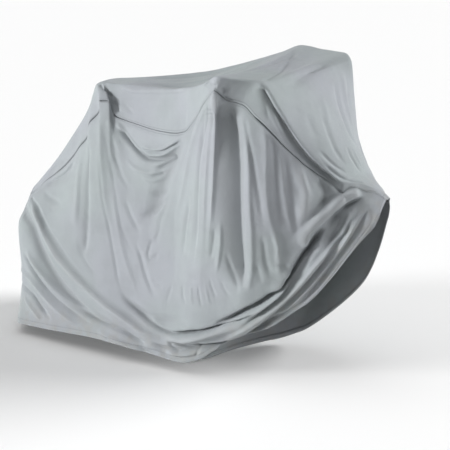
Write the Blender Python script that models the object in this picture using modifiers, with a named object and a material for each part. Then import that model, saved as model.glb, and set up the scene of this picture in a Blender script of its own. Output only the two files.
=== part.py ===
"""A fabric bicycle cover, draped over a bicycle that is left out.

Three sewn panels: one long top panel that runs from the rear hem over the saddle and the
handlebar to the front wheel, and a side panel on each side. The front hem is lifted onto the
front wheel's tyre. Metres, +X towards the front wheel, +Y to the bicycle's left, +Z up.
"""

import bmesh
import bpy
import numpy as np

FABRIC = 0.002  # sheet thickness
SEAM_GAP = 0.0009  # between two panels along their seam
STEEPEST_SEAM = 3.0  # limit on the tangent of half the turn at a seam
ROWS = 19  # quads from a side panel's seam down to its hem
TOP_QUADS = (2, 4, 2)  # right seam to shoulder, across, shoulder to left seam
FOLD_REACH = 0.12  # how far off a panel a fold's path may be drawn
FOLD_FADE = 0.3  # share of a fold's length over which each end fades
FOLD_STEPS = 24  # straight pieces that a fold's path is measured with
MOUNT = (-0.280, 0.0, 1.005)  # under the top panel, between the grips
SILVER = (0.60, 0.63, 0.66)

# The tables below are in metres ahead of the front hub (x), to the left of the bicycle's
# middle (y) and above the floor (z). A side section is one line of cloth from the seam to
# the hem, and "steps" is how many quads follow it, up to the next section.
SECTION_COLUMNS = ("steps", "seam", "upper", "lower", "hem")
SECTION_HEIGHTS = (0.0, 0.35, 0.70, 1.0)  # share of the way down for seam, upper, lower, hem

RIGHT_SECTIONS = (
    (4, (-1.352, -0.060, 0.470), (-1.363, -0.105, 0.37), (-1.340, -0.135, 0.17), (-1.310, -0.170, 0.045)),
    (3, (-1.272, -0.086, 0.526), (-1.298, -0.180, 0.41), (-1.245, -0.235, 0.18), (-1.225, -0.295, 0.040)),
    (4, (-1.184, -0.100, 0.580), (-1.175, -0.200, 0.41), (-1.145, -0.255, 0.19), (-1.100, -0.300, 0.045)),
    (2, (-1.025, -0.112, 0.750), (-0.985, -0.200, 0.53), (-0.920, -0.250, 0.26), (-0.860, -0.305, 0.057)),
    (3, (-0.975, -0.115, 0.835), (-0.925, -0.195, 0.58), (-0.840, -0.250, 0.28), (-0.750, -0.310, 0.056)),
    (5, (-0.860, -0.125, 0.825), (-0.810, -0.190, 0.57), (-0.735, -0.250, 0.27), (-0.650, -0.310, 0.050)),
    (5, (-0.590, -0.200, 0.822), (-0.575, -0.210, 0.58), (-0.540, -0.260, 0.28), (-0.500, -0.310, 0.042)),
    (3, (-0.400, -0.265, 0.965), (-0.405, -0.280, 0.66), (-0.410, -0.295, 0.34), (-0.424, -0.275, 0.062)),
    (3, (-0.330, -0.280, 0.985), (-0.335, -0.290, 0.70), (-0.345, -0.295, 0.38), (-0.353, -0.260, 0.113)),
    (3, (-0.240, -0.275, 0.952), (-0.250, -0.285, 0.69), (-0.265, -0.285, 0.40), (-0.266, -0.250, 0.157)),
    (3, (-0.170, -0.250, 0.888), (-0.180, -0.265, 0.66), (-0.195, -0.265, 0.40), (-0.192, -0.230, 0.198)),
    (3, (-0.080, -0.170, 0.775), (-0.075, -0.195, 0.65), (-0.065, -0.195, 0.47), (-0.045, -0.170, 0.325)),
    (2, (0.025, -0.100, 0.674), (0.045, -0.110, 0.63), (0.065, -0.110, 0.57), (0.090, -0.095, 0.520)),
    (3, (0.085, -0.068, 0.652), (0.097, -0.070, 0.63), (0.110, -0.070, 0.60), (0.121, -0.064, 0.570)),
    (0, (0.124, -0.044, 0.624), (0.125, -0.046, 0.616), (0.126, -0.048, 0.606), (0.126, -0.050, 0.597)),
)
LEFT_SECTIONS = (
    (4, (-1.352, 0.060, 0.475), (-1.375, 0.100, 0.33), (-1.360, 0.145, 0.17), (-1.330, 0.180, 0.045)),
    (3, (-1.280, 0.085, 0.530), (-1.305, 0.180, 0.38), (-1.290, 0.230, 0.18), (-1.260, 0.260, 0.040)),
    (4, (-1.190, 0.100, 0.580), (-1.180, 0.195, 0.41), (-1.165, 0.240, 0.19), (-1.140, 0.265, 0.035)),
    (2, (-1.030, 0.115, 0.755), (-0.990, 0.200, 0.53), (-0.950, 0.245, 0.26), (-0.920, 0.250, 0.030)),
    (3, (-0.975, 0.120, 0.840), (-0.920, 0.200, 0.58), (-0.860, 0.240, 0.27), (-0.800, 0.210, 0.025)),
    (5, (-0.860, 0.140, 0.835), (-0.810, 0.200, 0.57), (-0.750, 0.240, 0.25), (-0.680, 0.140, 0.020)),
    (5, (-0.600, 0.210, 0.865), (-0.585, 0.225, 0.58), (-0.560, 0.255, 0.24), (-0.540, -0.060, 0.016)),
    (3, (-0.385, 0.280, 1.005), (-0.410, 0.285, 0.66), (-0.430, 0.270, 0.25), (-0.486, -0.175, 0.015)),
    (3, (-0.300, 0.295, 1.020), (-0.325, 0.290, 0.68), (-0.350, 0.265, 0.28), (-0.440, -0.010, 0.015)),
    (3, (-0.210, 0.295, 0.985), (-0.235, 0.285, 0.67), (-0.265, 0.260, 0.33), (-0.370, 0.120, 0.022)),
    (3, (-0.150, 0.270, 0.910), (-0.165, 0.265, 0.64), (-0.190, 0.240, 0.35), (-0.285, 0.165, 0.055)),
    (3, (-0.080, 0.195, 0.790), (-0.075, 0.200, 0.62), (-0.085, 0.190, 0.42), (-0.150, 0.155, 0.160)),
    (2, (0.038, 0.112, 0.668), (0.037, 0.120, 0.61), (0.030, 0.125, 0.50), (0.000, 0.125, 0.320)),
    (3, (0.082, 0.076, 0.654), (0.085, 0.085, 0.62), (0.080, 0.090, 0.55), (0.068, 0.085, 0.450)),
    (0, (0.117, 0.050, 0.625), (0.118, 0.052, 0.61), (0.116, 0.054, 0.59), (0.112, 0.056, 0.570)),
)

# The top panel between its two shoulders: the lines where it turns down to the side seams.
TOP_COLUMNS = ("right_shoulder", "left_shoulder", "bulge")
REAR_TOP_SECTIONS = (  # up the back, from the rear hem to the rear corner
    ((-1.350, -0.080, 0.042), (-1.368, 0.090, 0.042), 0.020),
    ((-1.382, -0.055, 0.260), (-1.395, 0.060, 0.260), 0.015),
    ((-1.366, -0.028, 0.482), (-1.374, 0.035, 0.484), 0.006),
)
TOP_SECTIONS = (  # one for each side section, rear corner to front hem
    ((-1.366, -0.028, 0.482), (-1.374, 0.035, 0.484), 0.006),
    ((-1.315, -0.030, 0.560), (-1.323, 0.035, 0.563), 0.004),
    ((-1.236, -0.030, 0.672), (-1.242, 0.035, 0.676), 0.004),
    ((-1.084, -0.040, 0.848), (-1.088, 0.045, 0.852), 0.004),
    ((-1.042, -0.045, 0.914), (-1.038, 0.050, 0.921), 0.003),
    ((-0.935, -0.055, 0.935), (-0.930, 0.070, 0.940), -0.002),
    ((-0.640, -0.130, 0.958), (-0.720, 0.170, 0.968), -0.030),
    ((-0.385, -0.245, 1.035), (-0.400, 0.255, 1.066), -0.020),
    ((-0.300, -0.250, 1.045), (-0.270, 0.272, 1.083), -0.020),
    ((-0.205, -0.250, 1.043), (-0.183, 0.270, 1.072), -0.010),
    ((-0.135, -0.210, 0.920), (-0.147, 0.265, 0.924), 0.030),
    ((-0.072, -0.135, 0.765), (-0.052, 0.155, 0.765), 0.050),
    ((0.022, -0.080, 0.695), (0.034, 0.082, 0.699), 0.014),
    ((0.088, -0.035, 0.670), (0.092, 0.046, 0.663), 0.004),
    ((0.128, -0.025, 0.640), (0.128, 0.028, 0.638), 0.006),
)

# Folds: a path along the cloth, how wide the fold is on each side of the path, and how far
# it stands out (or, below zero, lies in).
FOLD_COLUMNS = ("path", "width", "height")
RIGHT_FOLDS = (
    # hanging from the saddle
    (((-1.00, -0.18, 0.70), (-0.97, -0.20, 0.57), (-0.92, -0.25, 0.30)), 0.026, -0.012),
    (((-0.98, -0.15, 0.78), (-0.94, -0.20, 0.60), (-0.86, -0.25, 0.28)), 0.026, 0.015),
    (((-0.95, -0.16, 0.74), (-0.87, -0.22, 0.47),
      (-0.78, -0.25, 0.25), (-0.65, -0.27, 0.19)), 0.028, -0.016),
    (((-0.92, -0.16, 0.70), (-0.80, -0.22, 0.41), (-0.69, -0.26, 0.22)), 0.028, 0.014),
    (((-0.90, -0.15, 0.73), (-0.78, -0.22, 0.45), (-0.60, -0.26, 0.23)), 0.028, -0.012),
    # swags between the saddle and the grip
    (((-0.86, -0.14, 0.79), (-0.75, -0.16, 0.73),
      (-0.65, -0.18, 0.72), (-0.56, -0.20, 0.76)), 0.026, -0.016),
    (((-0.80, -0.14, 0.79), (-0.68, -0.17, 0.76), (-0.54, -0.21, 0.81)), 0.026, 0.012),
    (((-0.71, -0.18, 0.65), (-0.61, -0.20, 0.70), (-0.56, -0.21, 0.75)), 0.024, -0.018),
    (((-0.74, -0.21, 0.50), (-0.63, -0.22, 0.55), (-0.58, -0.22, 0.61)), 0.030, -0.010),
    # the fan under the grip
    (((-0.47, -0.23, 0.90), (-0.58, -0.21, 0.74),
      (-0.60, -0.22, 0.58), (-0.66, -0.24, 0.40)), 0.034, -0.018),
    (((-0.42, -0.27, 0.91), (-0.47, -0.26, 0.72), (-0.56, -0.25, 0.46)), 0.030, 0.018),
    (((-0.32, -0.28, 0.96), (-0.30, -0.29, 0.68), (-0.27, -0.29, 0.38)), 0.036, -0.034),
    (((-0.25, -0.28, 0.92), (-0.25, -0.28, 0.72), (-0.20, -0.28, 0.47)), 0.026, 0.016),
    (((-0.20, -0.26, 0.88), (-0.17, -0.26, 0.70), (-0.13, -0.25, 0.47)), 0.026, -0.014),
    (((-0.13, -0.22, 0.81), (-0.11, -0.22, 0.68), (-0.09, -0.22, 0.54)), 0.026, 0.012),
    # drawn forward to the wheel
    (((0.06, -0.09, 0.66), (0.00, -0.13, 0.62),
      (-0.06, -0.18, 0.54), (-0.12, -0.22, 0.46)), 0.030, 0.024),
    (((0.04, -0.10, 0.63), (-0.06, -0.18, 0.48),
      (-0.15, -0.22, 0.33), (-0.33, -0.26, 0.20)), 0.030, -0.020),
    (((0.05, -0.11, 0.55), (-0.06, -0.18, 0.39),
      (-0.17, -0.22, 0.26), (-0.30, -0.26, 0.18)), 0.024, 0.012),
    # drawn back along the foot
    (((-1.30, -0.15, 0.46), (-1.10, -0.24, 0.35),
      (-0.88, -0.26, 0.22), (-0.60, -0.29, 0.13)), 0.030, -0.020),
    (((-1.28, -0.20, 0.35), (-1.15, -0.26, 0.23), (-0.95, -0.28, 0.14)), 0.030, 0.014),
    (((-1.27, -0.20, 0.28), (-1.18, -0.26, 0.17), (-1.03, -0.29, 0.09)), 0.028, -0.012),
)
LEFT_FOLDS = (
    (((-1.00, 0.16, 0.76), (-0.97, 0.20, 0.57), (-0.93, 0.25, 0.25)), 0.032, -0.016),
    (((-0.94, 0.16, 0.76), (-0.88, 0.21, 0.55), (-0.82, 0.23, 0.22)), 0.032, 0.016),
    (((-0.88, 0.17, 0.75), (-0.78, 0.22, 0.45), (-0.66, 0.22, 0.20)), 0.032, -0.014),
    (((-0.82, 0.17, 0.78), (-0.68, 0.20, 0.74), (-0.54, 0.23, 0.82)), 0.032, -0.014),
    (((-0.76, 0.19, 0.66), (-0.63, 0.21, 0.64), (-0.52, 0.24, 0.72)), 0.030, 0.012),
    (((-0.46, 0.26, 0.92), (-0.55, 0.24, 0.66), (-0.62, 0.24, 0.38)), 0.034, -0.018),
    (((-0.38, 0.28, 0.93), (-0.42, 0.28, 0.66), (-0.50, 0.26, 0.36)), 0.032, 0.018),
    (((-0.30, 0.29, 0.95), (-0.31, 0.29, 0.66), (-0.34, 0.27, 0.34)), 0.036, -0.026),
    (((-0.22, 0.29, 0.93), (-0.22, 0.28, 0.66), (-0.24, 0.26, 0.38)), 0.030, 0.016),
    (((-0.14, 0.25, 0.84), (-0.13, 0.24, 0.64), (-0.16, 0.21, 0.40)), 0.030, -0.016),
    (((0.05, 0.11, 0.64), (-0.03, 0.16, 0.48), (-0.14, 0.18, 0.30)), 0.028, 0.014),
    (((-1.31, 0.16, 0.42), (-1.12, 0.22, 0.30), (-0.92, 0.24, 0.20)), 0.032, -0.018),
    (((-1.30, 0.20, 0.28), (-1.16, 0.24, 0.18), (-0.98, 0.24, 0.10)), 0.030, 0.014),
)
TOP_FOLDS = (
    # the cape from the grips down to the wheel
    (((-0.12, -0.15, 0.86), (-0.05, -0.09, 0.79), (0.04, -0.02, 0.70)), 0.026, -0.016),
    (((-0.17, 0.23, 1.01), (-0.13, 0.20, 0.92), (-0.08, 0.16, 0.82)), 0.026, 0.012),
    (((-0.15, 0.15, 0.99), (-0.11, 0.12, 0.91), (0.00, 0.05, 0.76)), 0.030, -0.018),
    (((-0.17, 0.02, 1.00), (-0.10, 0.02, 0.90), (0.00, 0.01, 0.78)), 0.034, 0.012),
    # between the saddle and the grips
    (((-0.90, 0.02, 0.935), (-0.70, 0.02, 0.94), (-0.48, 0.02, 0.99)), 0.050, -0.012),
    (((-0.40, -0.10, 1.03), (-0.30, -0.08, 1.05), (-0.20, -0.10, 1.04)), 0.034, -0.010),
    # down the back
    (((-1.12, 0.00, 0.80), (-1.22, 0.00, 0.67), (-1.33, 0.00, 0.51)), 0.030, -0.008),
    (((-1.37, 0.03, 0.42), (-1.39, 0.03, 0.30), (-1.37, 0.04, 0.12)), 0.030, 0.010),
)


def through(knots, values, at):
    """A smooth line through values at the knots that never swings past them."""
    knots = np.asarray(knots, float)
    values = np.asarray(values, float)
    step = np.diff(knots)
    shape = (-1,) + (1,) * (values.ndim - 1)
    slope = np.diff(values, axis=0) / step.reshape(shape)
    inner = np.where(
        slope[:-1] * slope[1:] > 0,
        2 * slope[:-1] * slope[1:] / np.where(slope[:-1] + slope[1:] == 0, 1, slope[:-1] + slope[1:]),
        0,
    )
    tangent = np.concatenate([slope[:1], inner, slope[-1:]])
    k = np.clip(np.searchsorted(knots, at, side="right") - 1, 0, len(step) - 1)
    t = ((at - knots[k]) / step[k]).reshape(shape)
    h = step[k].reshape(shape)
    return (
        (1 + 2 * t) * (1 - t) ** 2 * values[k]
        + t * (1 - t) ** 2 * h * tangent[k]
        + t * t * (3 - 2 * t) * values[k + 1]
        + t * t * (t - 1) * h * tangent[k + 1]
    )


def column(table, names, name):
    """One named column of a table, as an array."""
    return np.array([row[names.index(name)] for row in table])


def stations(sections):
    """Where the columns of a side panel lie, counted in sections from the rear corner."""
    found = [0.0]
    for number, steps in enumerate(column(sections, SECTION_COLUMNS, "steps")):
        found += [number + (i + 1) / steps for i in range(steps)]
    return np.array(found)


def side_sheet(sections):
    """Grid of points, [column, row], rear to front and seam to hem."""
    lines = [column(sections, SECTION_COLUMNS, name) for name in SECTION_COLUMNS[1:]]
    along = [through(np.arange(len(sections)), line, stations(sections)) for line in lines]
    down = np.linspace(0, 1, ROWS + 1)
    return through(SECTION_HEIGHTS, np.array(along), down).transpose(1, 0, 2)


def normals(grid):
    """Unit normals of a grid of points, from its neighbours along and across."""
    across = np.cross(np.gradient(grid, axis=0), np.gradient(grid, axis=1))
    return across / np.linalg.norm(across, axis=2, keepdims=True)


def folded(grid, outward, folds):
    """The grid with each fold's soft ridge or trough pushed along its normals."""
    faces_out = normals(grid) * outward
    relief = np.zeros(grid.shape[:2])
    for row in folds:
        fold = dict(zip(FOLD_COLUMNS, row))
        points = np.array(fold["path"])
        share = np.linspace(0, 1, FOLD_STEPS + 1)
        line = through(np.linspace(0, 1, len(points)), points, share)
        away = grid[:, :, None, :] - line
        off = (away * faces_out[:, :, None, :]).sum(axis=3)
        beside = np.sqrt(np.maximum((away**2).sum(axis=3) - off**2, 0))
        beside[np.abs(off) > FOLD_REACH] = np.inf
        nearest = beside.argmin(axis=2)
        to_end = np.minimum(share, 1 - share)[nearest]
        fade = np.clip(to_end / FOLD_FADE, 0, 1)
        strength = fade * fade * (3 - 2 * fade)
        relief += fold["height"] * strength * np.exp(-((beside.min(axis=2) / fold["width"]) ** 2))
    return grid + faces_out * relief[:, :, None]


def seam_line(side):
    """The edge a side panel shares with the top panel, from the rear hem to the front."""
    return np.concatenate([side[0, :0:-1], side[:, 0]])


def top_sheet(right_seam, left_seam):
    """Grid of points, [station, column], rear hem to front and right seam to left seam."""
    up_the_back = np.linspace(0, len(REAR_TOP_SECTIONS) - 1, ROWS + 1)[:-1]
    stretches = ((REAR_TOP_SECTIONS, up_the_back), (TOP_SECTIONS, stations(RIGHT_SECTIONS)))
    right, left, bulge = (
        np.concatenate([
            through(np.arange(len(table)), column(table, TOP_COLUMNS, name), places)
            for table, places in stretches
        ])
        for name in TOP_COLUMNS
    )
    outward = np.cross(np.gradient((right + left) / 2, axis=0), left - right)
    outward /= np.linalg.norm(outward, axis=1, keepdims=True)
    lines = [right_seam + (right - right_seam) * i / TOP_QUADS[0] for i in range(TOP_QUADS[0])]
    for i in range(TOP_QUADS[1] + 1):
        share = i / TOP_QUADS[1]
        crown = 4 * share * (1 - share) * bulge[:, None]
        lines.append(right + (left - right) * share + outward * crown)
    lines += [left + (left_seam - left) * i / TOP_QUADS[2] for i in range(1, TOP_QUADS[2] + 1)]
    return np.stack(lines, axis=1)


def toward(points, inner):
    """Unit directions from an edge to the next line of points inside it."""
    step = inner - points
    return step / np.linalg.norm(step, axis=1, keepdims=True)


def pull_back(side_normals, top_normals):
    """How far each panel stops short of a seam, so that two thick sheets clear each other."""
    turn = (side_normals * top_normals).sum(axis=1)
    half_turn = np.sqrt(np.maximum(1 - turn, 0) / np.maximum(1 + turn, 1e-6))
    return (SEAM_GAP + FABRIC * np.minimum(half_turn, STEEPEST_SEAM))[:, None] / 2


def open_side_seam(side, pull):
    """The side panel with its rear and upper edges drawn back from the seam."""
    opened = side.copy()
    opened[0] += toward(side[0], side[1]) * pull[ROWS::-1]
    opened[:, 0] += toward(side[:, 0], side[:, 1]) * pull[ROWS:]
    return opened


def panel(name, grid, collection):
    """One panel: a net of quads on the grid's points, given the fabric's thickness."""
    columns, rows = grid.shape[0] - 1, grid.shape[1] - 1
    net = bmesh.new()
    bmesh.ops.create_grid(net, x_segments=columns, y_segments=rows, size=1)
    for vertex in net.verts:
        column = round((vertex.co.x + 1) / 2 * columns)
        row = round((vertex.co.y + 1) / 2 * rows)
        vertex.co = grid[column, row] - np.array(MOUNT)
    mesh = bpy.data.meshes.new(name)
    net.to_mesh(mesh)
    net.free()
    mesh.shade_smooth()
    piece = bpy.data.objects.new(name, mesh)
    collection.objects.link(piece)
    thickness = piece.modifiers.new("fabric", "SOLIDIFY")
    thickness.thickness = FABRIC
    thickness.offset = 0
    return piece


def fabric(name, colour):
    """Coated woven polyester with a soft sheen."""
    material = bpy.data.materials.new(name)
    material.use_nodes = True
    shader = material.node_tree.nodes["Principled BSDF"]
    shader.inputs["Base Color"].default_value = (*colour, 1)
    shader.inputs["Roughness"].default_value = 0.5
    shader.inputs["Metallic"].default_value = 0.0
    return material


def main():
    for thing in list(bpy.data.objects):
        bpy.data.objects.remove(thing)
    collection = bpy.data.collections.new("bicycle_cover")
    bpy.context.scene.collection.children.link(collection)

    right = folded(side_sheet(RIGHT_SECTIONS), -1, RIGHT_FOLDS)
    left = folded(side_sheet(LEFT_SECTIONS), 1, LEFT_FOLDS)
    top = folded(top_sheet(seam_line(right), seam_line(left)), 1, TOP_FOLDS)
    top[:, 0] = seam_line(right)
    top[:, -1] = seam_line(left)
    top_normals = normals(top)
    right_pull = pull_back(seam_line(-normals(right)), top_normals[:, 0])
    left_pull = pull_back(seam_line(normals(left)), top_normals[:, -1])
    opened_top = top.copy()
    opened_top[:, 0] += toward(top[:, 0], top[:, 1]) * right_pull
    opened_top[:, -1] += toward(top[:, -1], top[:, -2]) * left_pull

    pieces = [
        panel("top_panel", opened_top, collection),
        panel("right_side_panel", open_side_seam(right, right_pull), collection),
        panel("left_side_panel", open_side_seam(left, left_pull), collection),
    ]
    for piece in pieces:
        piece.data.materials.append(fabric(piece.name + "_fabric", SILVER))


main()
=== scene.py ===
import math

import bmesh
import bpy
import numpy as np
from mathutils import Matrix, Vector, noise


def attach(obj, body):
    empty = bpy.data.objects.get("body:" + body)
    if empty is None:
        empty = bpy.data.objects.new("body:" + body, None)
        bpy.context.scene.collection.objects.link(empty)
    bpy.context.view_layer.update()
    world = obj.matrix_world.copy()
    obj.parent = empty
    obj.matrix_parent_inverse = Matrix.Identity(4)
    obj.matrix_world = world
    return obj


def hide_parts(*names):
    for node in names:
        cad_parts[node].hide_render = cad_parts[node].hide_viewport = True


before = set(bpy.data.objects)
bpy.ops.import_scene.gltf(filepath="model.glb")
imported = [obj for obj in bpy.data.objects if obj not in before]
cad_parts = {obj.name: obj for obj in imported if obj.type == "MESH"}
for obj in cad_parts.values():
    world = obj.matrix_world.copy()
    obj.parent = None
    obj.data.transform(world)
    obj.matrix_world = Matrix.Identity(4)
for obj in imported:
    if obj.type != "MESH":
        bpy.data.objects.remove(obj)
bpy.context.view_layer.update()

# The panels' tables are in metres ahead of the front hub (x), to the left of the bicycle's middle (y)
# and above the floor (z). mountPoint is where the frame's origin lies in them.
mountPoint = np.array((-0.280, 0.0, 1.005))

cloth = {
    "thickness": 0.0012,
    "acrossPerQuad": 7,  # fine quads to each coarse step along a side panel
    "downQuads": 144,  # seam to hem
    "crowding": 0.30,  # how much closer the rows are at both ends than halfway
    "topQuads": (22, 54, 22),  # right seam to shoulder, across, shoulder to left seam
    "shoulderRounds": 3,  # passes that round the top where it turns down
    "foldSteps": 40,  # straight pieces that a fold's path is measured with
    "foldReach": 0.12,  # how far off the cloth a fold's path may lie
    "foldSpread": 3.2,  # widths from its path past which a fold is left out
    "shortestEnd": 0.01,  # least share of a fold over which its end fades
    "upperFirst": 0.05,  # seen from above, how much a metre of height counts against one aside
    "sag": 0.7,  # how far a fold hangs over, as a share of its height
    "sagDepth": 0.006,  # a crease deeper than this goes straight in
}

# how the far side's folds differ from the near side's
wander = {
    "x": 0.020,
    "z": 0.985,
    "lift": 0.01,
    "swing": (17, 5),  # how fast the changes come along x and z, from fold to fold
    "shift": (9, 4),  # and along one fold
    "height": 0.95,
    "uneven": 0.25,
    "steepest": 0.70,
    "fade": 0.30,
}
# faint creases all over, in two sizes: how far each stands out, how much height counts beside
# breadth, and the noise at which the cloth stays where it is
crumple = {"sizes": (0.045, 0.11), "heights": (0.0007, 0.0016), "upright": 0.45, "level": 0.3}

# a seam's edges are turned in: how far from the seam line, how deep inside
seam = {"lines": ((0.0010, 0.0080), (0.0012, 0.0050), (0.0022, 0.0022))}
seamTurned = len(seam["lines"]) - 1  # lines that this adds to a sheet
# a hem is turned up once inside
hem = {"layers": 0.0019, "bend": 0.0008, "lines": 4}
hemTurned = hem["lines"] + 1  # lines that this adds to a sheet

# A side panel's sections run from rear to front. Each has its coarse steps to the next one,
# then its points at the last three of these shares of the way from the seam to the hem.
sideHeights = (0.0, 0.35, 0.70, 1.0)

rightPanel = {
    "node": "right_side_panel",
    "outward": -1,
    "sections": (
        (4, (-1.363, -0.105, 0.37), (-1.340, -0.135, 0.17), (-1.310, -0.170, 0.045)),
        (3, (-1.298, -0.180, 0.41), (-1.245, -0.235, 0.18), (-1.225, -0.295, 0.040)),
        (4, (-1.175, -0.200, 0.41), (-1.145, -0.255, 0.19), (-1.100, -0.300, 0.045)),
        (2, (-0.985, -0.200, 0.53), (-0.920, -0.250, 0.26), (-0.860, -0.305, 0.057)),
        (3, (-0.905, -0.196, 0.58), (-0.830, -0.252, 0.28), (-0.750, -0.310, 0.056)),
        (6, (-0.775, -0.197, 0.57), (-0.715, -0.256, 0.27), (-0.650, -0.302, 0.050)),
        (6, (-0.575, -0.210, 0.58), (-0.540, -0.268, 0.28), (-0.500, -0.303, 0.042)),
        (3, (-0.405, -0.280, 0.66), (-0.410, -0.285, 0.34), (-0.424, -0.292, 0.062)),
        (3, (-0.335, -0.290, 0.70), (-0.345, -0.285, 0.38), (-0.353, -0.274, 0.113)),
        (2, (-0.250, -0.285, 0.69), (-0.265, -0.285, 0.40), (-0.266, -0.256, 0.157)),
        (3, (-0.180, -0.265, 0.66), (-0.195, -0.265, 0.40), (-0.192, -0.230, 0.198)),
        (4, (-0.075, -0.195, 0.65), (-0.065, -0.195, 0.47), (-0.045, -0.170, 0.325)),
        (2, (0.045, -0.110, 0.63), (0.065, -0.110, 0.57), (0.090, -0.095, 0.520)),
        (1, (0.100, -0.068, 0.64), (0.112, -0.068, 0.61), (0.123, -0.062, 0.570)),
        (0, (0.132, -0.024, 0.630), (0.131, -0.037, 0.613), (0.130, -0.047, 0.597)),
    ),
    # the seam: station, counted in sections, then the point
    "seam": (
        (0.0, (-1.352, -0.060, 0.470)), (0.5, (-1.320, -0.068, 0.485)),
        (1.0, (-1.262, -0.082, 0.532)), (1.6, (-1.200, -0.092, 0.573)),
        (2.1, (-1.147, -0.099, 0.612)), (2.5, (-1.094, -0.106, 0.662)),
        (2.75, (-1.061, -0.111, 0.701)), (3.0, (-1.022, -0.116, 0.742)),
        (3.2, (-1.016, -0.120, 0.773)), (3.35, (-1.010, -0.121, 0.792)),
        (3.8, (-0.962, -0.121, 0.843)), (3.9, (-0.961, -0.119, 0.852)),
        (4.0, (-0.967, -0.114, 0.874)), (4.15, (-0.958, -0.113, 0.881)),
        (4.4, (-0.925, -0.110, 0.884)), (4.5, (-0.920, -0.107, 0.868)),
        (4.6, (-0.913, -0.107, 0.847)), (4.7, (-0.902, -0.109, 0.832)),
        (4.8, (-0.885, -0.111, 0.827)), (5.0, (-0.850, -0.115, 0.822)), (5.3, (-0.790, -0.133, 0.815)),
        (5.6, (-0.710, -0.154, 0.810)), (5.85, (-0.640, -0.175, 0.811)),
        (6.0, (-0.590, -0.191, 0.816)), (6.3, (-0.540, -0.204, 0.828)),
        (6.5, (-0.490, -0.220, 0.870)), (6.8, (-0.425, -0.252, 0.945)),
        (7.0, (-0.391, -0.272, 0.975)), (7.35, (-0.354, -0.292, 1.006)),
        (8.0, (-0.336, -0.270, 0.983)), (8.3, (-0.316, -0.263, 0.970)),
        (8.9, (-0.272, -0.246, 0.959)), (9.5, (-0.230, -0.240, 0.924)),
        (10.0, (-0.185, -0.232, 0.888)), (10.4, (-0.150, -0.214, 0.846)),
        (11.0, (-0.095, -0.178, 0.783)), (11.4, (-0.048, -0.142, 0.735)),
        (11.8, (-0.007, -0.113, 0.700)), (12.0, (0.020, -0.098, 0.676)),
        (12.2, (0.030, -0.086, 0.688)), (12.4, (0.044, -0.072, 0.692)),
        (12.7, (0.060, -0.058, 0.686)), (13.0, (0.076, -0.050, 0.678)),
        (13.3, (0.094, -0.034, 0.677)), (13.7, (0.116, -0.018, 0.665)),
        (14.0, (0.134, -0.006, 0.648)),
    ),
    # how deep the seam is drawn in along it: where it is taut it hardly shows
    "drawnIn": (
        (0.0, 0.5), (1.0, 1.6), (2.0, 2.2), (3.3, 2.4), (4.0, 2.0), (4.7, 1.4), (5.2, 0.5), (6.0, 0.4),
        (6.3, 0.3), (6.6, 0.08), (7.3, 0.1), (7.5, 0.8), (8.1, 1.0), (8.5, 0.3), (9.4, 0.25),
        (9.8, 2.0), (11.0, 1.6), (12.0, 1.2), (14.0, 1.0),
    ),
}

leftPanel = {
    "node": "left_side_panel",
    "outward": 1,
    "sections": (
        (4, (-1.375, 0.100, 0.33), (-1.360, 0.145, 0.17), (-1.330, 0.180, 0.045)),
        (3, (-1.305, 0.180, 0.38), (-1.290, 0.230, 0.18), (-1.260, 0.260, 0.040)),
        (4, (-1.180, 0.195, 0.41), (-1.165, 0.240, 0.19), (-1.140, 0.265, 0.035)),
        (2, (-0.990, 0.200, 0.53), (-0.950, 0.245, 0.26), (-0.920, 0.250, 0.030)),
        (3, (-0.920, 0.200, 0.58), (-0.860, 0.240, 0.27), (-0.800, 0.210, 0.025)),
        (6, (-0.810, 0.200, 0.57), (-0.750, 0.240, 0.25), (-0.680, 0.140, 0.020)),
        (6, (-0.585, 0.225, 0.58), (-0.560, 0.255, 0.24), (-0.540, -0.060, 0.016)),
        (3, (-0.410, 0.285, 0.66), (-0.430, 0.270, 0.25), (-0.486, -0.175, 0.015)),
        (3, (-0.325, 0.290, 0.68), (-0.350, 0.265, 0.28), (-0.440, -0.010, 0.015)),
        (2, (-0.235, 0.285, 0.67), (-0.265, 0.260, 0.33), (-0.370, 0.120, 0.022)),
        (3, (-0.165, 0.265, 0.64), (-0.190, 0.240, 0.35), (-0.285, 0.165, 0.055)),
        (4, (-0.075, 0.200, 0.62), (-0.085, 0.190, 0.42), (-0.150, 0.155, 0.160)),
        (2, (0.037, 0.120, 0.61), (0.030, 0.125, 0.50), (0.000, 0.125, 0.320)),
        (1, (0.085, 0.085, 0.62), (0.080, 0.090, 0.55), (0.068, 0.085, 0.450)),
        (0, (0.118, 0.052, 0.61), (0.116, 0.054, 0.59), (0.112, 0.056, 0.570)),
    ),
    "seam": (
        (0.0, (-1.352, 0.060, 0.475)), (1.0, (-1.280, 0.085, 0.530)),
        (2.0, (-1.190, 0.100, 0.580)), (3.0, (-1.030, 0.115, 0.755)),
        (4.0, (-0.975, 0.120, 0.840)), (5.0, (-0.860, 0.140, 0.835)),
        (6.0, (-0.600, 0.210, 0.865)), (7.0, (-0.385, 0.280, 1.005)),
        (8.0, (-0.300, 0.295, 1.020)), (9.0, (-0.210, 0.295, 0.985)),
        (10.0, (-0.150, 0.270, 0.910)), (11.0, (-0.080, 0.195, 0.790)),
        (12.0, (0.038, 0.112, 0.668)), (13.0, (0.082, 0.076, 0.654)),
        (14.0, (0.117, 0.050, 0.625)),
    ),
    "drawnIn": (
        (0.0, 1.0), (2.5, 0.8), (4.0, 1.4), (5.0, 0.7), (6.2, 0.4), (7.0, 0.8), (8.0, 1.0),
        (9.3, 0.5), (11.0, 1.2), (14.0, 1.0),
    ),
}

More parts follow.
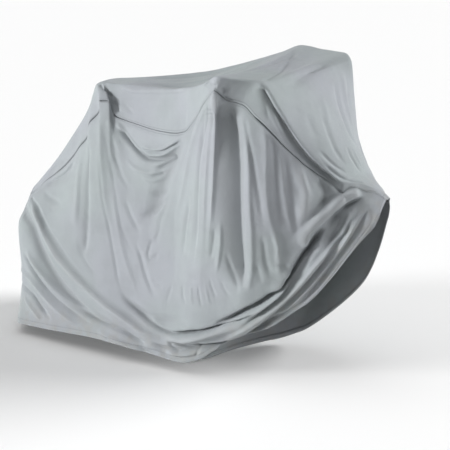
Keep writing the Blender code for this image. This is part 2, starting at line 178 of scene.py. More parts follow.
# the top panel between its shoulders, the lines where it turns down to the side seams
topPanel = {
    "node": "top_panel",
    "outward": 1,
    "rear": (  # up the back, rear hem to rear corner
        ((-1.350, -0.080, 0.042), (-1.368, 0.090, 0.042), 0.020),
        ((-1.382, -0.055, 0.260), (-1.395, 0.060, 0.260), 0.015),
        ((-1.366, -0.028, 0.482), (-1.374, 0.035, 0.484), 0.006),
    ),
    "rightShoulder": (
        (0.0, (-1.366, -0.028, 0.482)), (1.0, (-1.300, -0.032, 0.548)),
        (2.0, (-1.205, -0.034, 0.655)), (3.0, (-1.070, -0.040, 0.838)),
        (3.5, (-1.048, -0.043, 0.888)), (4.0, (-1.028, -0.047, 0.923)),
        (4.25, (-1.008, -0.049, 0.930)), (4.7, (-0.985, -0.050, 0.932)),
        (5.0, (-0.935, -0.055, 0.935)),
        (6.0, (-0.640, -0.130, 0.958)), (6.8, (-0.436, -0.235, 1.014)),
        (7.4, (-0.346, -0.284, 1.053)), (8.0, (-0.300, -0.251, 1.044)),
        (9.0, (-0.231, -0.213, 1.035)), (9.5, (-0.180, -0.217, 0.982)),
        (10.0, (-0.148, -0.207, 0.928)), (11.0, (-0.073, -0.166, 0.814)),
        (11.5, (-0.025, -0.130, 0.756)), (12.0, (0.018, -0.092, 0.712)),
        (12.4, (0.042, -0.060, 0.706)), (13.0, (0.078, -0.030, 0.692)),
        (13.5, (0.108, -0.008, 0.674)), (14.0, (0.132, 0.008, 0.648)),
    ),
    "leftShoulder": (
        (0.0, (-1.374, 0.035, 0.484)), (1.0, (-1.308, 0.035, 0.551)),
        (2.0, (-1.211, 0.035, 0.659)), (3.0, (-1.074, 0.045, 0.842)),
        (4.0, (-1.030, 0.050, 0.926)), (5.0, (-0.930, 0.070, 0.940)),
        (6.0, (-0.720, 0.170, 0.968)), (7.0, (-0.434, 0.252, 1.052)),
        (7.5, (-0.350, 0.270, 1.084)), (8.0, (-0.271, 0.285, 1.073)),
        (8.6, (-0.190, 0.285, 1.069)), (9.0, (-0.145, 0.256, 1.042)),
        (10.0, (-0.138, 0.262, 0.930)), (11.0, (-0.052, 0.155, 0.765)),
        (12.0, (0.034, 0.082, 0.699)), (13.0, (0.092, 0.046, 0.663)),
        (14.0, (0.128, 0.028, 0.638)),
    ),
    "bulge": (
        (0.0, 0.006), (1.0, 0.004), (3.0, 0.004), (4.0, 0.003), (5.0, -0.002), (6.0, -0.030),
        (7.0, -0.020), (8.0, -0.020), (9.0, -0.010), (10.0, 0.030), (11.0, 0.050),
        (12.0, 0.014), (13.0, 0.004), (14.0, 0.006),
    ),
}

# the camera, from which the folds are placed too
view = {
    "camera": (2.539, -4.210, 0.880),
    "azimuth": 33.27,
    "elevation": 15.78,
    "focal": 1474.4,  # in steps of the view
    "width": 450,  # steps across the view, and down it
    "sensor": 36.0,
    "blend": 6,  # points of cloth that a place in the view is taken from
    "evenness": 0.3,  # steps added to each point's distance when they are weighed
    "grazing": -0.05,  # cloth counts as turned away below this
    "turnedAway": 50,  # steps that such cloth counts as further off
}

# Folds, each placed one by one. path: where it runs down or along the cloth, as places in the
# camera's view, in steps from its top left corner, unless its group says otherwise.
# width: in metres, at its start and end. Here and below one number stands for two alike.
# steepness: how far it stands out, or below zero lies in, as a share of its width.
# sides: how wide it is on the walker's right and left hand.
# ends: share over which each end fades. sharp: 2 is a soft roll, 1 a creased ridge.
# lean: how far it falls over to the walker's left, as a share of its height, where given.
foldColumns = ("path", "width", "height", "sides", "ends", "sharp", "lean")  # once placed
soft = 2.0
crisp = 1.25

# drawn back along the foot
rearFolds = (
    (((33, 199), (39, 217), (45, 231), (51, 243), (58, 254), (66, 264), (76, 275), (88, 287),
      (102, 299), (116, 310), (133, 322), (150, 334), (164, 340)),
     (0.009, 0.012), 1.45, (1.6, 0.6), (0.1, 0.15), crisp),
    (((31, 190), (36, 204), (42, 217), (48, 229), (54, 239), (61, 250), (69, 261), (79, 273),
      (92, 286)), (0.005, 0.006), -1.05, (0.8, 1.0), (0.2, 0.35), soft),
    (((27, 202), (31, 225), (42, 253), (55, 277), (70, 296), (86, 311), (104, 322), (122, 330)),
     (0.02, 0.016), -0.8, (1.2, 0.9), (0.1, 0.3), soft),
    (((29, 205), (36, 225), (45, 245), (52, 258)), (0.007, 0.008), 0.32, 1.0, 0.3, soft),
    (((25, 245), (33, 260), (43, 274), (54, 287), (66, 298), (80, 308), (96, 316), (112, 325),
      (128, 335)), (0.008, 0.009), 1.1, (1.4, 0.8), (0.1, 0.25), crisp),
    (((23, 252), (31, 268), (42, 284), (54, 298), (67, 309), (81, 319), (96, 327)),
     0.006, -1.7, (1.0, 1.1), (0.1, 0.3), soft),
    (((23, 263), (31, 279), (43, 294), (55, 307), (68, 318), (84, 328)),
     0.008, 0.95, (1.2, 0.8), (0.15, 0.2), soft),
    (((23, 278), (31, 294), (42, 309), (51, 321)), (0.006, 0.007), -1.3, 1.0, (0.15, 0.2), soft),
    (((24, 296), (33, 310), (41, 320)), 0.007, 0.56, 1.0, 0.2, soft),
    (((70, 288), (84, 304), (100, 316), (118, 326)), 0.006, 0.48, 1.0, 0.3, soft),
    (((72, 302), (88, 315), (104, 323), (122, 331), (136, 339), (148, 346)),
     (0.007, 0.008), -1.2, (0.9, 1.1), (0.3, 0.15), soft),
    (((96, 330), (112, 338), (130, 346), (146, 350)), 0.008, 0.72, 1.0, 0.2, soft),
    (((136, 344), (146, 350), (160, 352), (176, 352)), 0.006, -0.96, 1.0, (0.2, 0.3), soft),
    (((43, 190), (52, 199), (64, 205)), 0.01, -0.32, 1.0, 0.3, soft),
    (((46, 184), (56, 179), (66, 172), (75, 160)), 0.012, -0.56, (1.6, 0.6), 0.2, soft),
)
# hanging from the saddle
saddleFolds = (
    (((89, 140), (88, 158), (87.5, 180), (87.5, 205), (87, 228), (85, 246), (82, 258)),
     (0.01, 0.012), -0.81, (1.5, 0.6), (0.15, 0.12), crisp),
    (((82, 152), (79, 178), (77, 205), (75, 230)), (0.012, 0.014), 0.45, (1.2, 0.8), 0.3, soft),
    (((78, 236), (80, 250), (88, 266), (98, 277)), 0.007, -0.39, (0.8, 1.2), 0.3, soft),
    (((100, 116), (101, 135), (101.5, 160), (103, 185), (106, 210), (109, 238)),
     (0.012, 0.014), 0.42, (1.8, 0.9), (0.2, 0.35), crisp),
    (((110, 116), (113, 128), (117, 142), (122, 158)), 0.012, 0.4, (1.0, 1.3), (0.2, 0.4), soft),
    (((100.5, 150), (101.5, 180), (104.5, 205), (109, 228), (114, 256), (118, 278), (123, 296)),
     (0.006, 0.008), -0.45, (0.8, 1.2), (0.25, 0.2), soft),
    (((103, 125), (106, 142), (109, 160), (113, 180), (116, 198), (120, 222), (128, 244), (138, 262)),
     (0.006, 0.007), -0.32, (0.7, 1.3), (0.2, 0.3), soft),
    (((112, 186), (116, 210), (120, 236), (126, 260), (134, 284), (140, 300)),
     (0.009, 0.01), 0.36, (1.4, 0.7), 0.3, crisp),
    (((112, 150), (117, 163), (122, 178), (130, 191)), 0.007, -0.45, (0.7, 1.4), (0.25, 0.3), soft),
    (((124, 198), (130, 216), (137, 228), (142, 234)), 0.008, -0.5, (0.7, 1.4), 0.3, soft),
    (((134, 240), (140, 256), (144, 272), (150, 288), (158, 302)),
     (0.008, 0.01), -0.5, (0.7, 1.5), 0.3, soft),
    (((154, 238), (149, 249), (147, 258)), 0.006, -0.78, 1.0, (0.3, 0.1), soft),
    (((147, 260), (154, 259), (159, 253)), 0.006, -0.65, 1.0, (0.1, 0.3), soft),
    (((162, 222), (156, 238), (152, 250)), 0.008, -0.33, (0.6, 1.6), (0.4, 0.3), soft),
    (((150, 280), (158, 283), (164, 290)), 0.006, -0.45, (1.2, 0.8), 0.3, soft),
)
# the flap from the seam's peak, on the near side only
flapFolds = (
    (((117, 122), (125, 132), (132, 141), (140, 150), (149, 155)),
     0.007, 1.1, (1.0, 0.8), (0.1, 0.4), soft),
    (((119, 128), (126, 138), (133, 147), (140, 155), (148, 160), (158, 161), (168, 159), (177, 152)),
     (0.01, 0.008), -1.7, (0.6, 1.4), (0.1, 0.2), soft),
    (((140, 145), (150, 148.5), (160, 149), (170, 144.5), (181, 138)),
     0.006, 1.1, (1.0, 0.8), 0.2, soft),
    (((143, 149), (152, 151.5), (161, 151.5), (171, 147.5), (180, 142)), 0.006, -0.9, 1.0, 0.2, soft),
)
# the swags between the saddle and the grip
swagFolds = (
    (((142, 151), (150, 154.5), (160, 154.5), (170, 150.5), (179, 145)),
     0.006, 1.0, (1.0, 0.8), 0.2, soft),
    (((124, 157), (132, 165), (140, 170), (149, 172.5), (157, 171), (166, 166), (174, 157)),
     (0.007, 0.006), 1.15, (1.1, 0.8), (0.3, 0.15), crisp),
    (((154, 170.5), (161, 168.5), (168, 164), (175, 157.5)),
     (0.008, 0.007), -2.3, (0.9, 1.2), (0.3, 0.05), soft),
    (((150, 177), (158, 176.5), (164, 173)), 0.006, -1.05, (0.9, 1.0), (0.3, 0.2), soft),
    (((140, 174), (150, 179.5), (160, 178.5), (167, 174)), 0.007, 0.68, (1.2, 0.8), 0.3, soft),
    (((148, 190), (156, 196), (163, 195), (170, 188)), 0.008, -0.68, (0.8, 1.4), (0.4, 0.3), soft),
    (((138, 218.5), (147, 217), (156, 212), (163, 205), (168, 197)),
     (0.007, 0.009), -0.83, (0.5, 2.4), 0.3, soft),
    (((170, 190), (166, 205), (161, 218), (156, 232)), (0.007, 0.008), -0.45, (1.0, 1.6), 0.3, soft),
    (((126, 122), (140, 128), (156, 133.5), (172, 135), (184, 132)),
     0.01, -0.45, (0.6, 1.6), 0.2, soft),
    (((176, 136), (181, 134.5), (186, 129)), 0.006, -0.75, 1.0, (0.3, 0.1), soft),
    (((187, 134), (178, 152), (168, 175), (158, 198), (149, 220), (143, 240)),
     (0.02, 0.03), -0.42, (1.2, 1.0), (0.25, 0.35), soft),
)
# the fan under the grip
fanFolds = (
    (((206, 95), (199, 112), (192, 132), (187, 150), (181, 168), (175, 184), (168, 200)),
     (0.007, 0.012), -0.35, (1.5, 0.7), (0.2, 0.4), crisp),
    (((208, 98), (202, 116), (195, 136), (189, 160), (184, 185), (178, 212), (173, 240)),
     (0.008, 0.018), 0.34, (1.4, 0.8), (0.2, 0.4), crisp),
    (((208.5, 102), (206, 118), (203.5, 136), (201, 150), (200, 166)),
     (0.006, 0.008), -0.6, (0.9, 1.1), (0.1, 0.4), soft),
    (((211, 98), (209.5, 118), (208.5, 140), (207, 165), (205.5, 195), (204.5, 225), (202, 255)),
     (0.007, 0.012), 0.5, (1.3, 0.7), (0.1, 0.4), crisp),
    (((205, 108), (202.5, 130), (199.5, 155), (197.5, 180), (196.5, 205), (196, 230), (194, 252),
      (191, 272)), (0.006, 0.014), -0.75, (1.4, 0.8), (0.25, 0.3), soft),
    (((190, 196), (187, 215), (184.5, 235), (182, 258)), (0.008, 0.01), -0.65, (1.2, 0.9), 0.3, soft),
    (((216, 92), (215.7, 120), (215, 150), (214, 180), (212.5, 205), (210, 228), (207, 252)),
     (0.01, 0.016), 0.85, (1.3, 0.6), (0.04, 0.4), crisp),
    (((226, 98), (231, 118), (235, 142), (236, 172), (236, 205), (237, 235), (239, 262), (243, 292)),
     (0.026, 0.022), -1.65, (1.9, 0.75), (0.1, 0.12), crisp),
    (((214, 226), (213, 240), (210, 262)), (0.008, 0.009), -0.6, 1.0, 0.3, soft),
    (((219, 220), (220, 240), (218, 262), (214, 276)), (0.007, 0.008), 0.7, (1.1, 0.9), 0.3, soft),
    (((224, 252), (227, 266), (233, 280), (240, 293)), (0.007, 0.008), -0.55, 1.0, (0.3, 0.2), soft),
    (((242, 108), (246, 130), (248, 150), (249, 180), (250, 210), (252, 235), (252, 262), (248, 294)),
     (0.009, 0.012), 0.6, (1.2, 0.7), (0.3, 0.08), crisp),
    (((243.5, 114), (247, 135), (251, 155), (255, 178), (259, 200), (262, 222), (264, 240)),
     (0.007, 0.009), -0.5, (0.8, 1.3), (0.12, 0.3), soft),
    (((254, 262), (258, 272), (262, 286)), (0.007, 0.008), -0.45, (1.0, 1.2), 0.3, soft),
    (((266, 122), (266.5, 145), (266.5, 170), (267, 192), (269.5, 212), (274, 230), (278, 246),
      (279, 262), (278, 280)), (0.008, 0.011), 0.55, (1.4, 0.6), 0.1, crisp),
    (((262, 232), (264, 248), (266, 262), (272, 280)), 0.008, -0.55, (1.0, 1.2), (0.3, 0.25), soft),
    (((272, 132), (274, 150), (276, 175), (278, 200), (281, 220), (284, 240)),
     (0.009, 0.011), -0.55, (0.8, 1.6), (0.1, 0.3), soft),
    (((284, 150), (287, 170), (290, 190), (293, 210), (296, 232), (298, 250)),
     (0.007, 0.008), -0.4, (1.0, 1.4), (0.25, 0.3), soft),
    (((277, 144), (281, 165), (284, 190), (287, 212), (290, 232), (293, 250)),
     (0.007, 0.008), 0.45, (1.3, 0.7), (0.2, 0.25), crisp),
    (((290, 152), (295, 172), (298, 192)), 0.008, 0.25, 1.0, (0.3, 0.4), soft),
    (((302, 164), (307, 178), (312, 194)), 0.006, -0.45, 1.0, (0.25, 0.3), soft),
    (((296, 158), (302, 176), (306, 194), (305, 212), (300, 226)),
     (0.016, 0.018), 0.75, (1.3, 1.1), (0.25, 0.3), soft),
    (((318, 176), (326, 190), (326, 201), (317, 212)), (0.019, 0.018), -0.95, (1.2, 0.8), 0.3, soft),
    (((310, 168), (318, 178), (327, 188)), 0.006, -0.35, 1.0, 0.3, soft),
    (((328, 185), (336, 189), (343, 195)), 0.006, -0.45, 1.0, (0.3, 0.2), soft),
    (((284, 214), (288, 228), (292, 242)), 0.006, -0.45, 1.0, 0.3, soft),
    (((300, 196), (300, 215), (298, 232)), 0.012, 0.2, 1.0, 0.4, soft),
)
# ripples where the fan ends
rippleFolds = (
    (((173, 286), (169, 294), (166, 304)), 0.006, -0.4, 1.0, 0.3, soft),
    (((183, 284), (183, 295), (186, 306)), 0.006, -0.45, 1.0, 0.3, soft),
    (((191, 284), (191, 296), (193, 306)), 0.006, 0.35, 1.0, 0.3, soft),
    (((198, 284), (199, 296), (202, 308)), 0.006, -0.45, 1.0, 0.3, soft),
    (((205, 282), (207, 294), (210, 306)), 0.006, 0.35, 1.0, 0.3, soft),
    (((209, 278), (213, 290), (217, 300)), 0.006, -0.4, 1.0, 0.3, soft),
    (((220, 280), (225, 290), (231, 298)), 0.006, -0.35, 1.0, 0.3, soft),
)
# the creases round the foot and the sweeps under them
footFolds = (
    (((119, 286), (125, 298), (134, 308), (146, 316), (160, 321), (178, 322), (198, 323)),
     (0.01, 0.012), -0.8, (0.8, 1.7), (0.3, 0.4), soft),
    (((118, 290), (126, 302), (138, 313), (150, 323), (163, 331), (176, 336), (190, 336), (202, 333)),
     0.008, -1.8, (0.8, 1.5), (0.45, 0.2), soft),
    (((142, 312), (154, 321), (168, 329), (182, 330), (196, 327)), 0.008, 0.72, 1.0, 0.3, soft),
    (((172, 332.5), (186, 333), (200, 332.5), (215, 329), (232, 325), (250, 317), (262, 308)),
     0.006, -4.2, (0.9, 1.0), (0.12, 0.3), soft),
    (((164, 336.5), (182, 337.5), (200, 337), (217, 333.5), (234, 329), (248, 323), (262, 314)),
     0.009, 1.0, (1.2, 0.8), (0.15, 0.3), soft, 0.6),
    (((212, 326), (230, 319.5), (246, 312), (258, 306), (270, 298), (281, 288), (291, 276)),
     (0.007, 0.008), -5.0, (0.9, 1.1), (0.3, 0.05), soft),
    (((318, 242), (304, 264), (297, 277), (287, 290), (272, 303), (255, 314), (238, 323), (220, 331),
      (200, 338), (180, 342), (160, 339)), 0.01, 1.35, 0.9, (0.1, 0.2), soft, -0.7),
    (((320, 242), (312, 254), (304, 269), (296, 282), (285, 295), (270, 308), (252, 321), (238, 329)),
     0.007, -3.12, 1.0, (0.12, 0.3), soft),
    (((166, 343), (182, 346.5), (202, 347.5), (222, 345.5), (240, 340), (258, 331), (272, 322),
      (286, 312), (300, 298)), 0.007, -3.8, (0.9, 1.0), (0.15, 0.3), soft),
    (((222, 339), (240, 332), (256, 322), (270, 312), (286, 299), (302, 283), (316, 266), (330, 250),
      (342, 234)), (0.01, 0.011), 1.25, (1.0, 0.8), (0.2, 0.15), soft, 0.5),
    (((244, 337), (258, 328), (272, 317), (288, 303), (304, 287), (320, 268), (334, 250), (346, 233),
      (352, 214)), (0.006, 0.007), -1.8, 1.0, (0.2, 0.1), soft),
    (((262, 330), (276, 320), (290, 308), (306, 292), (322, 273), (338, 253), (352, 232), (362, 213)),
     (0.007, 0.009), 1.2, (1.0, 0.8), (0.2, 0.1), crisp, 0.6),
    (((150, 343), (162, 348), (178, 350.5), (192, 350), (204, 347)), 0.007, -1.6, 1.0, 0.2, soft),
    (((163, 349), (178, 355), (192, 354.5), (206, 350)), 0.006, 0.9, (1.0, 0.8), 0.25, crisp),
    (((156, 350), (170, 357), (186, 357), (200, 354)), 0.006, -0.9, 1.0, 0.25, soft),
    (((168, 340), (172, 348), (181, 354)), 0.006, -0.9, 1.0, 0.3, soft),
    (((196, 341), (199, 349), (194, 357)), 0.006, -0.9, 1.0, 0.3, soft),
    (((300, 303), (316, 286), (332, 266), (348, 244), (362, 222), (370, 208)),
     (0.006, 0.007), -1.32, 1.0, (0.2, 0.1), soft),
    (((290, 317), (308, 300), (328, 277), (346, 254), (364, 229), (376, 212)),
     (0.007, 0.009), 0.96, 1.0, (0.2, 0.1), soft),
)
# the raised band from the tyre and the recess under it
bandFolds = (
    (((361, 191), (350, 195.5), (338, 203.5), (325, 214.5), (312, 226), (298, 238), (284, 250)),
     (0.021, 0.012), 0.85, (1.0, 0.9), (0.08, 0.45), 4.0),
    (((353, 188.5), (345, 193.5), (335, 200.5), (322, 211), (310, 222), (299, 232)),
     0.009, 0.9, (0.8, 1.2), (0.15, 0.4), soft, -0.4),
    (((341, 190), (331, 198), (319, 208), (307, 219)), 0.009, -0.7, (1.2, 0.8), (0.25, 0.4), soft),
    (((364, 196), (354, 202), (345, 208), (337, 217), (326, 231)),
     (0.008, 0.012), -1.9, (1.2, 1.0), (0.35, 0.4), soft),
    (((346, 208), (340, 220), (334, 233), (326, 247)), 0.018, -0.75, (1.7, 1.0), 0.3, soft),
    (((326, 226), (319, 237), (311.5, 249), (303, 263), (294.5, 277), (285, 290)),
     (0.006, 0.014), -4.8, (1.6, 0.7), (0.25, 0.15), soft),
    (((309, 240), (302, 252), (296, 263), (289, 275)), 0.014, -0.9, (1.8, 0.6), 0.3, soft),
    (((273, 226), (278, 244), (280, 262), (279, 276)), 0.008, 0.7, (1.0, 1.2), (0.3, 0.2), soft),
    (((314, 230), (303, 243), (295, 257), (288, 271), (279, 284), (267, 296)),
     0.01, 1.2, (1.7, 0.8), (0.2, 0.25), soft, 0.8),
    (((346, 206), (343, 220), (336, 236), (326, 252)), 0.01, -1.2, 1.0, (0.2, 0.3), soft),
    (((355, 206), (349, 222), (340, 240)), 0.007, 0.8, 1.0, (0.2, 0.3), soft),
    (((276, 262), (284, 266), (290, 272)), 0.007, -0.7, 1.0, (0.2, 0.3), soft),
)
# on the top, seen in the view: the cape, its near ridge and the saddle's pocket
capeFolds = (
    (((317.6, 149), (324, 156), (331, 163), (339, 169), (347, 173)),
     0.006, -0.8, (1.2, 0.8), 0.3, soft),
    (((324, 164), (332, 171), (340, 177), (350, 181)), 0.006, -0.8, (1.2, 0.8), 0.3, soft),
    (((321, 155), (328, 163), (336, 169), (344, 173.5)), 0.007, 0.45, 1.0, 0.3, soft),
    (((320, 112), (325, 124), (330, 137), (335, 149), (341, 159), (348, 167)),
     0.008, -0.55, 1.0, 0.3, soft),
    (((334, 80), (337, 96), (341, 110), (346, 124), (352, 138), (358, 150)),
     (0.008, 0.009), -0.75, (1.1, 0.9), (0.2, 0.3), soft),
    (((342, 70), (344, 86), (346.5, 104), (350, 118), (355, 132)),
     (0.009, 0.008), 0.6, 1.0, (0.2, 0.3), soft),
    (((346, 145), (350, 155), (356, 165), (362, 174)), 0.006, -0.8, 1.0, 0.3, soft),
    (((350, 144), (356, 156), (363, 168)), 0.006, 0.5, 1.0, 0.3, soft),
    (((322, 96), (326, 112), (329, 128)), 0.012, 0.25, 1.0, 0.3, soft),
    (((308, 112), (312, 128), (320, 142)), 0.012, -0.2, 1.0, 0.3, soft),
    (((345, 180), (355, 182), (364, 183)), 0.006, -0.6, 1.0, 0.3, soft),
    (((262, 86), (271, 103), (280, 118), (289, 134), (301, 151), (316, 167), (331, 180), (344, 188)),
     (0.01, 0.011), -2.0, (1.3, 0.7), (0.06, 0.15), soft),
    (((263, 94), (266, 108), (269, 122)), 0.006, -0.7, 1.0, (0.2, 0.3), soft),
    (((272, 113), (277, 124), (284, 136)), 0.007, 0.6, 1.0, 0.3, soft),
    (((298, 155), (308, 167), (320, 178), (334, 188)), 0.007, 0.5, 1.0, 0.3, soft),
    (((99, 84.5), (104, 89.5), (109, 94.5), (113, 98.5)), 0.006, -1.6, (0.9, 1.1), (0.1, 0.3), crisp),
    (((113, 101), (115, 105), (117, 109), (119, 114)),
     (0.006, 0.005), -1.0, (0.8, 1.2), (0.2, 0.15), soft),
    (((101, 86), (106, 92), (110, 98)), 0.008, 0.25, (1.2, 0.7), (0.2, 0.3), soft),
    (((122, 100), (128, 108), (135, 116)), 0.008, -0.25, 1.0, 0.3, soft),
    (((223, 81), (226, 89), (231, 98)), (0.007, 0.008), -0.8, 1.0, (0.15, 0.3), soft),
    (((224, 97), (228, 100), (234, 103)), (0.007, 0.006), -1.1, 1.0, (0.2, 0.3), soft),
)
# between the saddle and the grips, as (x, y) seen from above
crossFolds = (
    (((-0.93, -0.058), (-0.84, -0.079), (-0.75, -0.099), (-0.65, -0.127), (-0.56, -0.164),
      (-0.5, -0.196)), (0.006, 0.007), 1.2, (0.8, 1.2), 0.2, crisp),
    (((-0.95, -0.01), (-0.85, -0.035), (-0.72, -0.055), (-0.58, -0.085), (-0.46, -0.14)),
     (0.009, 0.01), 0.5, 1.0, (0.2, 0.3), soft),
    (((-0.92, 0.03), (-0.8, 0.025), (-0.66, 0.04), (-0.5, 0.03), (-0.38, 0.0)),
     (0.01, 0.012), -0.4, 1.0, 0.3, soft),
    (((-0.9, 0.055), (-0.78, 0.11), (-0.64, 0.16), (-0.5, 0.205)),
     (0.009, 0.01), -0.45, 1.0, (0.2, 0.3), soft),
    (((-0.38, -0.235), (-0.5, -0.165), (-0.65, -0.09), (-0.82, -0.045)),
     (0.009, 0.012), 0.45, 1.0, (0.1, 0.4), soft),
    (((-0.41, 0.225), (-0.55, 0.14), (-0.7, 0.085), (-0.86, 0.03)),
     (0.009, 0.012), 0.45, 1.0, (0.15, 0.4), soft),
    (((-0.36, -0.22), (-0.34, -0.06), (-0.33, 0.12), (-0.345, 0.24)),
     (0.011, 0.013), -0.4, 1.0, 0.2, soft),
    (((-0.225, -0.195), (-0.26, -0.05), (-0.31, 0.1), (-0.345, 0.22)),
     (0.008, 0.009), -0.5, 1.0, (0.1, 0.3), soft),
    (((-0.18, -0.13), (-0.19, 0.0), (-0.19, 0.12), (-0.19, 0.22)), 0.013, -0.55, 1.0, 0.3, soft),
    (((-0.215, -0.16), (-0.22, 0.02), (-0.23, 0.18)), 0.012, 0.4, 1.0, 0.3, soft),
)
# down the back, as (x, y, z)
backFolds = (
    (((-1.372, -0.035, 0.45), (-1.388, -0.04, 0.27), (-1.352, -0.062, 0.06)),
     (0.012, 0.014), 0.55, 1.0, (0.2, 0.1), crisp),
    (((-1.376, 0.004, 0.46), (-1.392, 0.006, 0.28), (-1.362, 0.02, 0.05)),
     (0.011, 0.013), -0.6, 1.0, (0.2, 0.1), soft),
    (((-1.372, 0.032, 0.42), (-1.392, 0.05, 0.25), (-1.362, 0.075, 0.06)),
     (0.01, 0.012), 0.5, 1.0, (0.2, 0.1), soft),
    (((-1.345, -0.045, 0.51), (-1.25, -0.062, 0.61), (-1.13, -0.075, 0.74)),
     0.009, -0.35, 1.0, 0.3, soft),
    (((-1.33, 0.0, 0.53), (-1.2, 0.0, 0.66), (-1.09, 0.0, 0.82)), 0.01, 0.3, 1.0, 0.3, soft),
)


def pair(value):
    # one number stands for two that are alike
    return value if isinstance(value, tuple) else (value, value)


def through(knots, values, at):
    # a smooth line through values at the knots that never swings past them
    knots = np.asarray(knots, float)
    values = np.asarray(values, float)
    step = np.diff(knots)
    shape = (-1,) + (1,) * (values.ndim - 1)
    slope = np.diff(values, axis=0) / step.reshape(shape)
    total = slope[:-1] + slope[1:]
    inner = np.where(
        slope[:-1] * slope[1:] > 0, 2 * slope[:-1] * slope[1:] / np.where(total == 0, 1, total), 0
    )
    tangent = np.concatenate([slope[:1], inner, slope[-1:]])
    k = np.clip(np.searchsorted(knots, at, side="right") - 1, 0, len(step) - 1)
    t = ((at - knots[k]) / step[k]).reshape(shape)
    h = step[k].reshape(shape)
    return (
        (1 + 2 * t) * (1 - t) ** 2 * values[k]
        + t * (1 - t) ** 2 * h * tangent[k]
        + t * t * (3 - 2 * t) * values[k + 1]
        + t * t * (t - 1) * h * tangent[k + 1]
    )


def byStation(table, at):
    return through([row[0] for row in table], [row[1] for row in table], at)


def unit(vectors):
    return vectors / np.maximum(np.linalg.norm(vectors, axis=-1, keepdims=True), 1e-9)


def normals(grid):
    # unit normals from a point's neighbours along and across
    return unit(np.cross(np.gradient(grid, axis=0), np.gradient(grid, axis=1)))


def smoothStep(t):
    t = np.clip(t, 0, 1)
    return t * t * (3 - 2 * t)


def spread(values, before, after):
    # a grid's edge values repeated past it, along its two axes
    return np.pad(values, tuple(zip(before, after)) + ((0, 0),) * (values.ndim - 2), "edge")


def stations(panel):
    found = [0.0]
    for number, row in enumerate(panel["sections"]):
        fine = row[0] * cloth["acrossPerQuad"]
        found += [number + (i + 1) / fine for i in range(fine)]
    return np.array(found)


def downShares():
    # how far down each row lies: closer together by the seam and the hem
    even = np.linspace(0, 1, cloth["downQuads"] + 1)
    return even - cloth["crowding"] * np.sin(2 * math.pi * even) / (2 * math.pi)


def sideSheet(panel):
    # points [column, row], rear to front and seam to hem
    at = stations(panel)
    lines = [byStation(panel["seam"], at)]
    for place in range(1, len(sideHeights)):
        points = [row[place] for row in panel["sections"]]
        lines.append(through(np.arange(len(points)), points, at))
    return through(sideHeights, np.array(lines), downShares()).transpose(1, 0, 2)


def seamLine(side):
    # the edge a side panel shares with the top, rear hem to front
    return np.concatenate([side[0, :0:-1], side[:, 0]])


def topSheet(rightSeam, leftSeam):
    # points [station, column], rear hem to front and right seam to left seam
    upTheBack = (len(topPanel["rear"]) - 1) * downShares()[:-1]
    along = stations(rightPanel)
    rear = list(zip(*topPanel["rear"]))
    right, left, bulge = (
        np.concatenate([through(np.arange(len(column)), column, upTheBack), byStation(topPanel[name], along)])
        for name, column in zip(("rightShoulder", "leftShoulder", "bulge"), rear)
    )
    outward = unit(np.cross(np.gradient((right + left) / 2, axis=0), left - right))
    first, middle, last = cloth["topQuads"]
    lines = [rightSeam + (right - rightSeam) * i / first for i in range(first)]
    for i in range(middle + 1):
        share = i / middle
        lines.append(right + (left - right) * share + outward * 4 * share * (1 - share) * bulge[:, None])
    lines += [left + (leftSeam - left) * i / last for i in range(1, last + 1)]
    grid = np.stack(lines, axis=1)
    for _ in range(cloth["shoulderRounds"]):
        grid[:, 1:-1] += 0.5 * ((grid[:, :-2] + grid[:, 2:]) / 2 - grid[:, 1:-1])
    return grid


def viewAxes():
    turn = math.radians(view["azimuth"])
    tilt = math.radians(view["elevation"])
    back = np.array((math.sin(turn) * math.cos(tilt), -math.cos(turn) * math.cos(tilt), math.sin(tilt)))
    right = np.array((math.cos(turn), math.sin(turn), 0))
    return right, np.cross(back, right), back


def inView(points):
    # where points of the cloth lie in the camera's view
    right, up, back = viewAxes()
    off = points - (np.array(view["camera"]) + mountPoint)
    scale = view["focal"] / -(off @ back)
    middle = view["width"] / 2
    return np.stack([middle + scale * (off @ right), middle - scale * (off @ up)], axis=-1)


def fromView(grid, outward):
    # a function from a place in the view to the cloth there, the side that faces the camera first
    points = grid.reshape(-1, 3)
    out = (normals(grid) * outward).reshape(-1, 3)
    toCamera = np.array(view["camera"]) + mountPoint - points
    turnedAway = np.where((toCamera * out).sum(axis=1) > view["grazing"], 0, view["turnedAway"])
    seen = inView(points)

    def spot(place):
        off = np.hypot(seen[:, 0] - place[0], seen[:, 1] - place[1]) + turnedAway
        near = np.argsort(off)[:view["blend"]]
        weight = 1 / (off[near] + view["evenness"]) ** 2
        return (points[near] * weight[:, None]).sum(axis=0) / weight.sum()

    return spot


def fromAbove(grid):
    # a function from (x, y) to the cloth's upper surface there
    points = grid.reshape(-1, 3)

    def spot(place):
        aside = np.hypot(points[:, 0] - place[0], points[:, 1] - place[1])
        off = aside - points[:, 2] * cloth["upperFirst"]
        return np.array((*place, points[off.argmin(), 2]))

    return spot


def placed(rows, spot, axes):
    # the rows as folds in metres: axes are the ones that a path keeps
    done = []
    for path, width, steepness, sides, ends, *rest in rows:
        width = pair(width)
        places = [spot(place) for place in path]
        along = tuple(tuple(float(place[axis]) for axis in axes) for place in places)
        height = steepness * (width[0] + width[1]) / 2
        done.append((along, width, height, pair(sides), pair(ends), *rest))
    return done


